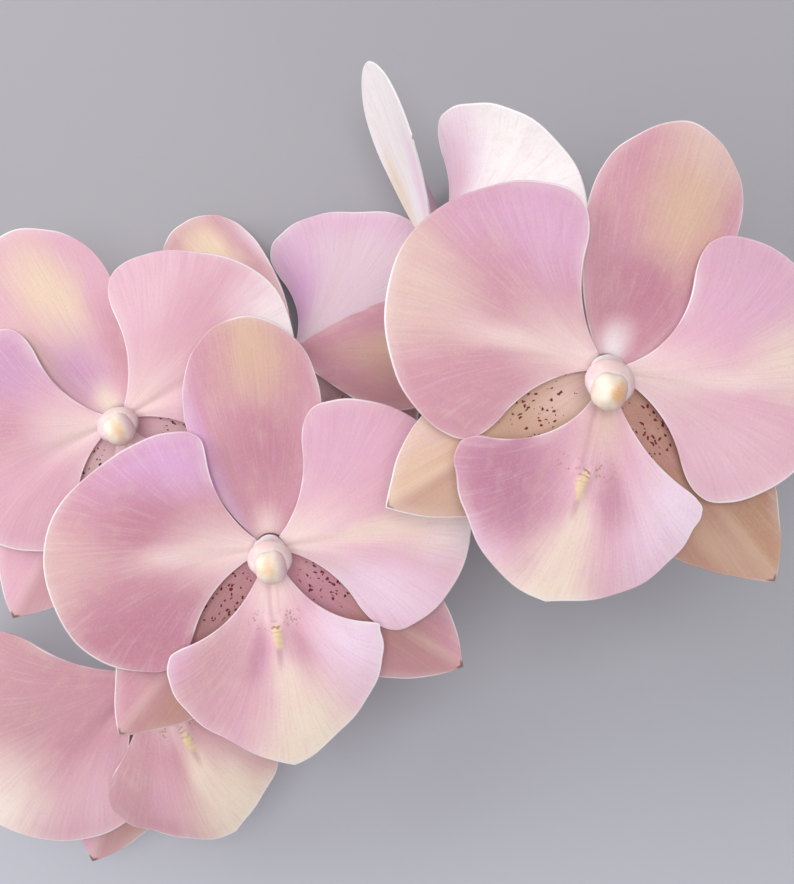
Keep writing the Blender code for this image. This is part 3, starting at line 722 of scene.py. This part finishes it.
def tissue(name, kind, base, patches, seed, callus_at):
    """Petal tissue: soft patches, fanned veins, a bright rim, partly painted highlight, and the
    kind's markings.
    """
    paint = Paint(name)
    share_flat = paint.uv("share")
    plan = paint.uv("plan")
    edge, facing = paint.apart(paint.uv("edge"))[:2]
    shifted = paint.moved(plan, (seed * 0.37, seed * 0.71, 0))
    share = paint.moved(share_flat, paint.wander(shifted, 7, 3, 0.14))
    colour = base
    for across, outward, wide, long, tint, strength in patches:
        place = paint.oval(share, (across, outward), wide, long)
        colour = paint.over(colour, tint, place, 0.1, 1, strength, 0)

    # Veins: streaks that are long from root to rim and fine across
    fan = paint.stretched(share_flat, (1, 0.028, 0))
    fan = paint.moved(fan, (seed * 0.21, seed * 0.13, 0))
    broad = paint.noise(fan, 14)
    fine = paint.noise(fan, 120)
    mottle = paint.noise(paint.stretched(shifted, (1, 0.45, 1)), 30, 5, 0.65)
    grain = paint.noise(shifted, 190, 3, 0.65)
    for value, low, high, strength, tint in (
        (broad, 0.45, 0.75, 0.09, DEEP_ROSE), (fine, 0.5, 0.72, 0.13, DEEP_ROSE),
        (fine, 0.48, 0.3, 0.09, WHITE), (mottle, 0.45, 0.72, 0.2, SAND),
        (mottle, 0.5, 0.3, 0.13, LILAC), (grain, 0.48, 0.72, 0.08, WHITE),
        (grain, 0.5, 0.3, 0.12, DEEP_ROSE),
    ):
        colour = paint.over(colour, tint, value, low, high, 0, strength)

    # Lateral sepals: a painted highlight along the fold's ridge and painted shade on its high half,
    # then dots and a brown tip.
    if kind in ("left_sepal", "right_sepal"):
        across, outward = paint.apart(share_flat)[:2]
        ridge_highlight = paint.smooth(paint.from_middle(across, 0.49), 0, 0.055, 0.18, 0)
        ridge_highlight = paint.times(ridge_highlight, paint.smooth(outward, 0.35, 0.75))
        half = paint.smooth(across, 0.46, 0.52, 0, 0.42)
        half = paint.times(half, paint.smooth(outward, 0.25, 0.65))
        colour = paint.mix(half, colour, BROWN_ROSE)
        colour = paint.mix(ridge_highlight, colour, CREAM)
        colour = add_dots(paint, colour, plan, facing, seed)
        tip = paint.oval(share_flat, (0.5, 1), 0.034, 0.022)
        colour = paint.over(colour, BROWN, tip, 0.4, 1, 0.9, 0)
    if kind == "lip":
        colour = add_callus(paint, colour, plan, callus_at)
    # Rim: the edge and a margin inside it turn whiter, partly a paler margin and partly a painted
    # highlight.
    rim_share = paint.noise(paint.moved(share_flat, (seed, 0.3 * seed, 0)), 3.2, 1)
    bright = paint.smooth(rim_share, 0.38, 0.62, 0.12, 0.8)
    rim = paint.times(paint.smooth(edge, 0.006, 0.038, 1, 0), bright)
    margin_and_highlight = paint.times(paint.smooth(edge, 0, 0.3, 0.22, 0), bright)
    colour = paint.mix(margin_and_highlight, colour, WHITE)
    colour = paint.mix(rim, colour, RIM)
    paint.coat({
        "Base Color": colour, "Roughness": paint.smooth(grain, 0.3, 0.7, 0.54, 0.68),
        "Specular IOR Level": 0.25, "Subsurface Weight": 0.2,
        "Subsurface Radius": (1, 0.62, 0.62), "Subsurface Scale": 1.2 * MM,
        "Sheen Weight": 0.08, "Sheen Roughness": 0.5,
    })
    veins = paint.plus(paint.times(broad, 0.5), paint.times(fine, 0.5))
    height = paint.plus(paint.times(veins, 0.8), paint.times(grain, 0.25))
    height = paint.plus(height, paint.times(mottle, 0.9))
    paint.bumped(height, 0.14 * MM, 0.4)
    return paint.material


def add_dots(paint, colour, plan, facing, seed):
    """Small maroon dots and dashes near the root, more of them on the petal's side."""
    moved = paint.moved(plan, (seed * 0.11, seed * 0.05, 0))
    wobble = paint.wander(moved, 90, 2, 0.014)
    slim = paint.stretched(paint.moved(moved, wobble), (1.15, 0.85, 0))
    cells = paint.cells(slim, 106, 0.9)
    varied = paint.smooth(paint.apart(cells["Color"])[0], 0.05, 0.56)
    area = paint.oval(plan, (0.484, 0.652), 0.098, 0.1)
    limit = paint.times(paint.smooth(area, 0.4, 1, 0.41, 0.13), varied)
    limit = paint.times(limit, paint.smooth(area, 1, 0.9))
    limit = paint.times(limit, paint.smooth(facing, 0.6, 0.9))
    inside = paint.math("SUBTRACT", cells["Distance"], limit)
    dot = paint.times(paint.smooth(inside, 0, -0.07), paint.smooth(limit, 0.02, 0.1))
    return paint.mix(dot, colour, MAROON)


def add_callus(paint, colour, plan, callus_at):
    """The lip's pale yellow callus with its bars, and the lines and specks about it."""
    middle = 0.5 + callus_at * MM / PLAN_SPAN
    place = paint.less(plan, (0.5, middle, 0))
    x, y = paint.apart(place)[:2]
    away = paint.math("ABSOLUTE", x)
    wobble = paint.math("SUBTRACT", paint.noise(plan, 60), 0.5)
    spot = paint.oval(place, (0, 0), 0.013, 0.037)
    spot = paint.plus(spot, paint.times(wobble, 1.2))
    lines = paint.times(paint.smooth(away, 0.003, 0.009), paint.smooth(away, 0.018, 0.01))
    lines = paint.times(lines, paint.smooth(y, -0.03, -0.05))
    colour = paint.mix(paint.times(lines, 0.3), colour, ROSE)
    streak = paint.times(paint.smooth(away, 0.011, 0.002), paint.smooth(y, 0.022, 0.034))
    streak = paint.times(streak, paint.smooth(y, 0.085, 0.045, 0, 0.4))
    colour = paint.mix(streak, colour, MAUVE)
    colour = paint.over(colour, YELLOW, spot, 0.35, 1.05, 0.75, 0)
    bars = paint.math("SINE", paint.plus(paint.times(y, 560), paint.times(wobble, 14)))
    bars = paint.times(paint.smooth(bars, 0.45, 0.95), paint.smooth(spot, 1.15, 0.7))
    upper = paint.smooth(y, 0, -0.022, 0.08, 0.75)
    colour = paint.mix(paint.times(bars, upper), colour, RUST)
    speck = paint.smooth(paint.cells(plan, 120)["Distance"], 0.42, 0.2)
    both_sides = paint.node("ShaderNodeCombineXYZ", {0: away, 1: y}).outputs[0]
    beside = paint.oval(both_sides, (0.034, -0.036), 0.038, 0.03)
    mask = paint.times(speck, paint.smooth(beside, 1, 0.3, 0, 0.85))
    return paint.mix(mask, colour, BROWN_ROSE)


def bloom_frame(bloom):
    """A bloom's own frame: +Y is where its dorsal sepal points and +Z where it faces."""
    facing = Vector(bloom["facing"]).normalized()
    dorsal = Vector(bloom["dorsal"])
    dorsal = (dorsal - facing * dorsal.dot(facing)).normalized()
    turned = Matrix((dorsal.cross(facing), dorsal, facing)).transposed().to_4x4()
    return Matrix.Translation(Vector(bloom["centre"]) * MM - FOOTPRINT) @ turned


def blade_frame(angle, tilt, base):
    """Turns a blade about the bloom's middle and tilts it at its root."""
    root = Matrix.Translation((0, ROOT_RADIUS, 0))
    tilted = root @ Matrix.Rotation(math.radians(tilt), 4, "X") @ root.inverted()
    turned = Matrix.Rotation(math.radians(angle - 90), 4, "Z")
    return turned @ Matrix.Translation((0, 0, base)) @ tilted


def lofted(rings):
    """Points and faces of a closed skin through equal rings, with a point in each end's middle."""
    rings = np.array(rings, float)
    count, sides = rings.shape[:2]
    points = rings.reshape(-1, 3)
    faces = []
    for i in range(count - 1):
        for k in range(sides):
            m = (k + 1) % sides
            faces.append((i * sides + k, i * sides + m, (i + 1) * sides + m, (i + 1) * sides + k))
    points = np.concatenate([points, rings[0].mean(axis=0)[None], rings[-1].mean(axis=0)[None]])
    low, high = count * sides, count * sides + 1
    for k in range(sides):
        m = (k + 1) % sides
        faces.append((low, m, k))
        faces.append((high, (count - 1) * sides + k, (count - 1) * sides + m))
    return points, faces


def ring_points(centre, right, up, sides, shape=lambda a: 1):
    centre, right, up = (np.array(v, float) for v in (centre, right, up))
    angles = np.arange(sides) * 2 * math.pi / sides
    return np.array([centre + (right * math.cos(a) + up * math.sin(a)) * shape(a) for a in angles])


def plain_maps(points, shift=0):
    """A turned piece's maps: its plan, and its height with its amber patch's place to the side."""
    flat = points / TURNED_SPAN
    depth = np.stack([flat[:, 2], np.full(len(flat), shift)], axis=-1)
    return {"plan": flat[:, :2] + 0.5, "depth": depth}


def column_end(bloom):
    """How far a column leans right and up from its foot to its end."""
    return np.array((*bloom.get("column", (0, -COLUMN_DROP)), 0)) * COLUMN_LENGTH


def add_column(name, world, size, end, material):
    """The column: a short waxy rod that leans down and flares into a soft hood, flatter below."""
    half = COLUMN_WIDTH / 2
    start = KNOB_FRONT + GAP
    rings = []
    for share in np.linspace(0, 1, COLUMN_RINGS):
        wide, deep = (eased(p, np.array([share]))[0] for p in (COLUMN_WIDE, COLUMN_DEEP))
        lean = COLUMN_LEAN * share**1.5
        pinch = 0.94 if share in (0, 1) else 1
        centre = end * share**1.6 + (0, 0, start + COLUMN_LENGTH * share)
        up = (0, half * deep * math.cos(lean) * pinch, half * deep * math.sin(lean) * pinch)

        def outline(a, s=share):
            return 1 - 0.12 * s * max(0, -math.sin(a)) ** 2

        rings.append(ring_points(centre, (half * wide * pinch, 0, 0), up, COLUMN_SIDES, outline))
    points, faces = lofted(rings)
    maps = plain_maps(points - end)
    return add_mesh(name, transform(points * size, world), faces, maps, material)


def add_cap(name, world, size, end, amber_shift, material):
    """The anther cap: a rounded knob, a little square and uneven, with a small beak below."""
    forward = np.array((0, -math.sin(COLUMN_LEAN), math.cos(COLUMN_LEAN)))
    seat = end + (0, 0, KNOB_FRONT + GAP + COLUMN_LENGTH) + forward * GAP
    right = np.array((CAP_WIDTH / 2, 0, 0))
    up = np.array((0, math.cos(COLUMN_LEAN), math.sin(COLUMN_LEAN))) * CAP_HEIGHT / 2
    rings = []
    for share in np.sin(np.linspace(0, 1, CAP_RINGS) * math.pi / 2) * 0.995:
        wide = math.sqrt(1 - share**2) * (0.94 + 0.2 * share * (1 - share))

        def outline(a, s=share):
            squarish = 0.05 * math.cos(4 * a) + 0.03 * math.sin(3 * a + 0.7)
            groove = 0.07 * math.exp(-(((a - math.pi / 2) / 0.28) ** 2))
            beak = 0.1 * math.exp(-(((a - 3 * math.pi / 2) / 0.32) ** 2))
            return 0.97 - squarish * (1 - s) - groove + beak * (1 - s)

        centre = seat + forward * CAP_DEPTH * share
        rings.append(ring_points(centre, right * wide, up * wide, CAP_SIDES, outline))
    points, faces = lofted(rings)
    maps = plain_maps(points - end, amber_shift)
    return add_mesh(name, transform(points * size, world), faces, maps, material)


def tube_rings(line, radii, sides):
    right = Vector((0, 1, 0.3)).normalized()
    rings = []
    for k, point in enumerate(line):
        along = Vector(line[min(k + 1, len(line) - 1)] - line[max(k - 1, 0)]).normalized()
        right = (right - along * right.dot(along)).normalized()
        up = along.cross(right)
        rings.append(ring_points(point, right * radii[k], up * radii[k], sides))
    return rings


def stem_line():
    """The stalk's line and its radius at each step."""
    steps = np.linspace(0, 1, STEM_RINGS)
    line = eased(np.array(STEM_LINE, float) * MM, steps)
    swell = 1 + NODE_SWELL * np.cos(steps * math.pi * STEM_NODES) ** 8
    radii = (CUT_RADIUS + (TIP_RADIUS - CUT_RADIUS) * steps**1.5) * swell
    return line - np.array(FOOTPRINT), radii


def bract_rings(point, along, out, length, width):
    """A slim pointed scale that hugs the stem."""
    along, out = Vector(along).normalized(), Vector(out).normalized()
    side = along.cross(out)
    rings = []
    for t in np.linspace(0, 1, BRACT_RINGS):
        wide = width * (1.02 - 0.95 * t**2.2)
        centre = Vector(point) + along * length * (1.15 * t - 0.15)
        centre = centre + out * width * (0.15 + 1.2 * t**1.5)
        rings.append(ring_points(centre, side * wide * 0.95, out * wide * 0.8, BRACT_SIDES))
    return rings


def nearest_step(line, x):
    """The step of the stalk's line that lies nearest to a place along the part."""
    return int(np.argmin(np.abs(line[:, 0] + FOOTPRINT.x - x * MM)))


def add_stem(frames, material):
    """The whole green part as one piece: stalk, bloom stalks, knobs, scales and sheaths."""
    line, radii = stem_line()
    skins = [(tube_rings(line, radii, STEM_SIDES), MAIN_STALK, 0)]
    for bloom, world in zip(BLOOMS, frames):
        size = bloom["size"]
        step = nearest_step(line, bloom["stem_x"])
        start = Vector(line[step])
        back = world @ Vector((0, 0, -KNOB_DEPTH * 0.7 * size))
        behind = world @ Vector((0, 0, -KNOB_DEPTH * 1.5 * size))
        bends = [Vector(b) * MM - FOOTPRINT for b in reversed(bloom["bends"])]
        stalk = eased([start, *bends, behind, back], np.linspace(0, 1, STALK_RINGS))
        widths = PEDICEL_RADIUS * (1.05 + 0.25 * np.linspace(-1, 1, STALK_RINGS) ** 2)
        skins.append((tube_rings(stalk, widths, STALK_SIDES), BLOOM_STALK, 0))
        knob = []
        for height, share in KNOB:
            radius = KNOB_RADIUS * share * size
            ring = ring_points((0, 0, height * size), (radius, 0, 0), (0, radius, 0), KNOB_SIDES)
            knob.append(transform(ring, world))
        skins.append((knob, BLOOM_STALK, KNOB_FRONT_RINGS))
        along = line[step + 1] - line[step - 1]
        leaving = Vector(bloom["bends"][-1]) * MM - FOOTPRINT - start
        bract = bract_rings(start, along, leaving, BRACT_LENGTH, radii[step] * 0.9)
        skins.append((bract, SCALE, 0))
    for x in SHEATHS_X:
        step = nearest_step(line, x)
        along = line[step + 1] - line[step - 1]
        sheath = bract_rings(line[step], along, (0, 0, 1), SHEATH_LENGTH, radii[step] * 0.95)
        skins.append((sheath, SCALE, 0))
    points, faces, kinds = [], [], []
    first = 0
    for rings, kind, front_rings in skins:
        skin_points, skin_faces = lofted(rings)
        faces += [tuple(i + first for i in face) for face in skin_faces]
        first += len(skin_points)
        front = np.zeros(len(skin_points))
        if front_rings:
            front[: front_rings * len(rings[0])] = 1
            front[-2] = 1
        points.append(skin_points)
        kinds.append(np.stack([np.full(len(skin_points), kind), front], axis=-1))
    maps = {"kind": np.concatenate(kinds)}
    return add_mesh("stem_fine", np.concatenate(points), faces, maps, material)


def stem_material():
    """Waxy green with pale flecks, pinker bloom stalks, browner scales and white knob fronts,
    partly painted light.
    """
    paint = Paint("stem_skin")
    where = paint.node("ShaderNodeTexCoord").outputs["Object"]
    kind, front = paint.apart(paint.uv("kind"))[:2]
    long = paint.stretched(where, (0.25, 1, 1))
    streak = paint.noise(long, 900, 3, 0.6)
    cloud = paint.noise(where, 60, 3)
    colour = paint.mix(paint.smooth(cloud, 0.35, 0.7), DARK_GREEN, GREEN)
    colour = paint.over(colour, TAN, streak, 0.5, 0.8, 0, 0.3)
    stalk = paint.mix(paint.smooth(cloud, 0.3, 0.7, 0.35, 0.7), GREEN, ROSE)
    colour = paint.over(colour, stalk, kind, 0.8, 0.95)
    scale = paint.times(paint.smooth(kind, 0.25, 0.4), paint.smooth(kind, 0.75, 0.6))
    colour = paint.mix(paint.times(scale, 0.7), colour, RUST)
    spots = paint.cells(where, 420)["Distance"]
    colour = paint.over(colour, CREAM, spots, 0.2, 0.1, 0, 0.45)
    # White knob fronts: partly painted light for the shade under each column.
    colour = paint.mix(front, colour, WHITE)
    paint.coat({
        "Base Color": colour, "Roughness": paint.smooth(streak, 0.3, 0.7, 0.34, 0.5),
        "Subsurface Weight": 0.1, "Subsurface Scale": 1 * MM,
    })
    paint.bumped(paint.plus(streak, paint.times(spots, 0.4)), 0.15 * MM, 0.6)
    return paint.material


def column_material():
    """Waxy pinkish white: a white foot, partly painted light under the hood, blush above, pinker
    along the hood's sides.
    """
    paint = Paint("column_wax")
    depth = paint.apart(paint.uv("depth"))[0]
    plan = paint.uv("plan")
    cloud = paint.noise(plan, 9, 3)
    away = paint.from_middle(paint.apart(plan)[0], 0.5)
    # White at the foot is partly painted light for the shade under the hood.
    colour = paint.mix(paint.smooth(depth, 0.22, 0.5), WHITE, BLUSH)
    colour = paint.over(colour, PALE_PINK, away, 0.12, 0.25, 0, 0.6)
    colour = paint.over(colour, WHITE, cloud, 0.4, 0.7, 0, 0.4)
    paint.coat({
        "Base Color": colour, "Roughness": paint.smooth(cloud, 0.3, 0.7, 0.55, 0.68),
        "Specular IOR Level": 0.2, "Subsurface Weight": 0.6,
        "Subsurface Radius": (1, 0.7, 0.65), "Subsurface Scale": 3 * MM,
    })
    paint.bumped(cloud, 0.1 * MM, 0.4)
    return paint.material


def cap_material():
    """Waxy cream with a soft amber patch to one side, painted light as a pink tint on its shaded
    right side, and fine pale grain.
    """
    paint = Paint("cap_wax")
    plan = paint.uv("plan")
    cloud = paint.noise(plan, 8, 3)
    grain = paint.noise(plan, 60, 3)
    amber_shift = paint.apart(paint.uv("depth"))[1]
    shift = paint.node("ShaderNodeCombineXYZ", {0: amber_shift}).outputs[0]
    spot = paint.oval(paint.less(plan, shift), (0.5, 0.48), 0.11, 0.16)
    spot = paint.plus(spot, paint.times(paint.math("SUBTRACT", cloud, 0.5), 0.9))
    colour = paint.mix(paint.smooth(cloud, 0.3, 0.72), CREAM, IVORY)
    side = paint.apart(plan)[0]
    # Painted light: a pink tint on the cap's shaded right side.
    colour = paint.over(colour, PALE_PINK, side, 0.54, 0.66, 0, 0.8)
    strength = paint.smooth(amber_shift, 0, 0.07, 0.55, 0.9)
    amber = paint.times(paint.smooth(spot, 0.1, 1.1, 1, 0), strength)
    colour = paint.mix(amber, colour, AMBER)
    colour = paint.over(colour, WHITE, grain, 0.5, 0.75, 0, 0.25)
    paint.coat({
        "Base Color": colour, "Roughness": paint.smooth(cloud, 0.3, 0.7, 0.46, 0.6),
        "Specular IOR Level": 0.35, "Subsurface Weight": 0.6,
        "Subsurface Radius": (1, 0.7, 0.6), "Subsurface Scale": 2.5 * MM,
    })
    paint.bumped(paint.plus(cloud, paint.times(grain, 0.3)), 0.15 * MM, 0.5)
    return paint.material


def settle_piece(piece, node):
    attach(piece, "root")
    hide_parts(node)


def add_bloom(number, bloom, world, column_wax, cap_wax):
    tilts, turns, changes = (bloom.get(key, {}) for key in ("tilts", "turns", "changes"))
    size = bloom["size"]
    for order, (kind, shape, angle, side, slot) in enumerate(BLADES):
        node = f"bloom_{number}_{kind}"
        uneven = RUFFLED.get(node, UNEVEN_LIP if kind == "lip" else UNEVEN_RIM)
        own = {**shape, **changes.get(kind, {}), "uneven": uneven}
        place = blade_frame(angle + turns.get(kind, 0), tilts.get(kind, 0), own["base"])
        base, patches = OWN_PATCHES.get(node, PATCHES[kind])
        seed = number + SEED_STEP * order
        at = CALLUS_AT[number]
        material = tissue(f"{node}_tissue", kind, base, patches, seed, at)
        name = f"{node}_fine"
        piece = add_blade(name, kind, own, side, world, place, material, size, seed, at)
        settle_piece(piece, node)
    end = column_end(bloom)
    column = add_column(f"bloom_{number}_column_fine", world, size, end, column_wax)
    settle_piece(column, f"bloom_{number}_column")
    amber_shift = AMBER_AT.get(number, 0)
    cap = add_cap(f"bloom_{number}_anther_cap_fine", world, size, end, amber_shift, cap_wax)
    settle_piece(cap, f"bloom_{number}_anther_cap")


def add_floor():
    """A wide sheet of pale paper, a little lighter toward the near side as painted light."""
    mesh = bpy.data.meshes.new("floor")
    far = FLOOR_HALF
    corners = [(-far, -far, 0), (far, -far, 0), (far, far, 0), (-far, far, 0)]
    mesh.from_pydata(corners, [], [(0, 1, 2, 3)])
    paint = Paint("floor_paper")
    where = paint.node("ShaderNodeTexCoord").outputs["Object"]
    cloud = paint.noise(where, 3)
    darker = tuple(v * 0.95 for v in FLOOR_GREY)
    colour = paint.mix(paint.smooth(cloud, 0.35, 0.65), darker, FLOOR_GREY)
    # Painted light: lighter toward the near side, making up for the lamps lighting the far side
    # more.
    colour = paint.over(colour, FLOOR_PALE, paint.apart(where)[1], 0.03, -0.13)
    paint.coat({"Base Color": colour, "Roughness": 0.9})
    mesh.materials.append(paint.material)
    floor = put_in_scene("floor", mesh)


def add_lamps():
    aim = Vector((-FOOTPRINT.x, -FOOTPRINT.y, AIM_HEIGHT))
    for name, (place, width, power, colour) in LAMPS.items():
        data = bpy.data.lights.new(name, "AREA")
        data.shape = "DISK"
        data.size = width
        data.energy = power
        data.color = colour
        lamp = put_in_scene(name, data)
        lamp.location = place
        lamp.rotation_euler = (aim - Vector(place)).to_track_quat("-Z", "Y").to_euler()


def add_world():
    world = bpy.data.worlds.new("studio")
    bpy.context.scene.world = world
    world.use_nodes = True
    backdrop = world.node_tree.nodes["Background"]
    backdrop.inputs["Color"].default_value = SKY
    backdrop.inputs["Strength"].default_value = SKY_STRENGTH


def add_camera():
    data = bpy.data.cameras.new("camera")
    data.lens = LENS
    data.clip_start = CLIP_START
    camera = put_in_scene("camera", data)
    camera.location = (-FOOTPRINT.x, -FOOTPRINT.y, CAMERA_HEIGHT)
    bpy.context.scene.camera = camera


def main():
    frames = [bloom_frame(bloom) for bloom in BLOOMS]
    column_wax, cap_wax = column_material(), cap_material()
    for number, (bloom, world) in enumerate(zip(BLOOMS, frames), 1):
        add_bloom(number, bloom, world, column_wax, cap_wax)
    settle_piece(add_stem(frames, stem_material()), "flower_stem")
    add_floor()
    add_lamps()
    add_world()
    add_camera()
    bpy.context.scene.view_settings.view_transform = "Standard"


main()
